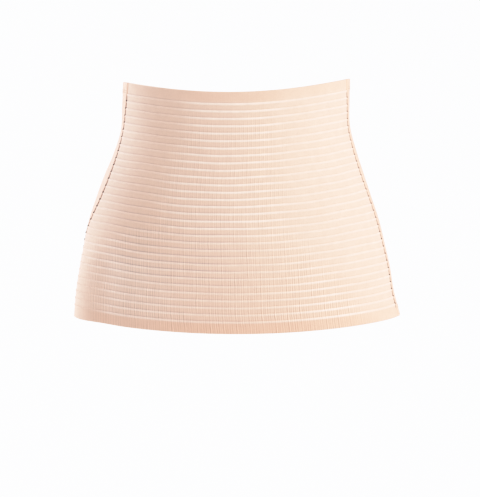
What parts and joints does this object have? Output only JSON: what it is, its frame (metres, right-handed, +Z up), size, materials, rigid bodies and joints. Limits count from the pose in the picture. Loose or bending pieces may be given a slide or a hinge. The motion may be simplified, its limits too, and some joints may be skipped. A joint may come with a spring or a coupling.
{
  "type": "postpartum belt",
  "caption": "Wide ribbed elastic belt closed round the waist and hips, with a seam at each side and lapped plain wings at the back.",
  "frame": {"origin": "middle of the hollow at half the belt's height, where the wearer's torso passes through", "axes": "+Z up along the torso towards the waist, +X to the right seen from the front, front of the belt at -Y"},
  "size_m": [0.3362, 0.2292, 0.2606],
  "materials": {
    "ribbed_elastic": "matte woven elastic, beige bands between paler raised ribs",
    "smooth_elastic": "smooth fine knit, pale peach",
    "hook_and_loop": "matte brushed loop"
  },
  "bodies": {
    "root": {"front_panel": "ribbed_elastic", "back_wing_left": "smooth_elastic", "back_wing_right": "smooth_elastic", "back_closure": "hook_and_loop"}
  },
  "joints": []
}
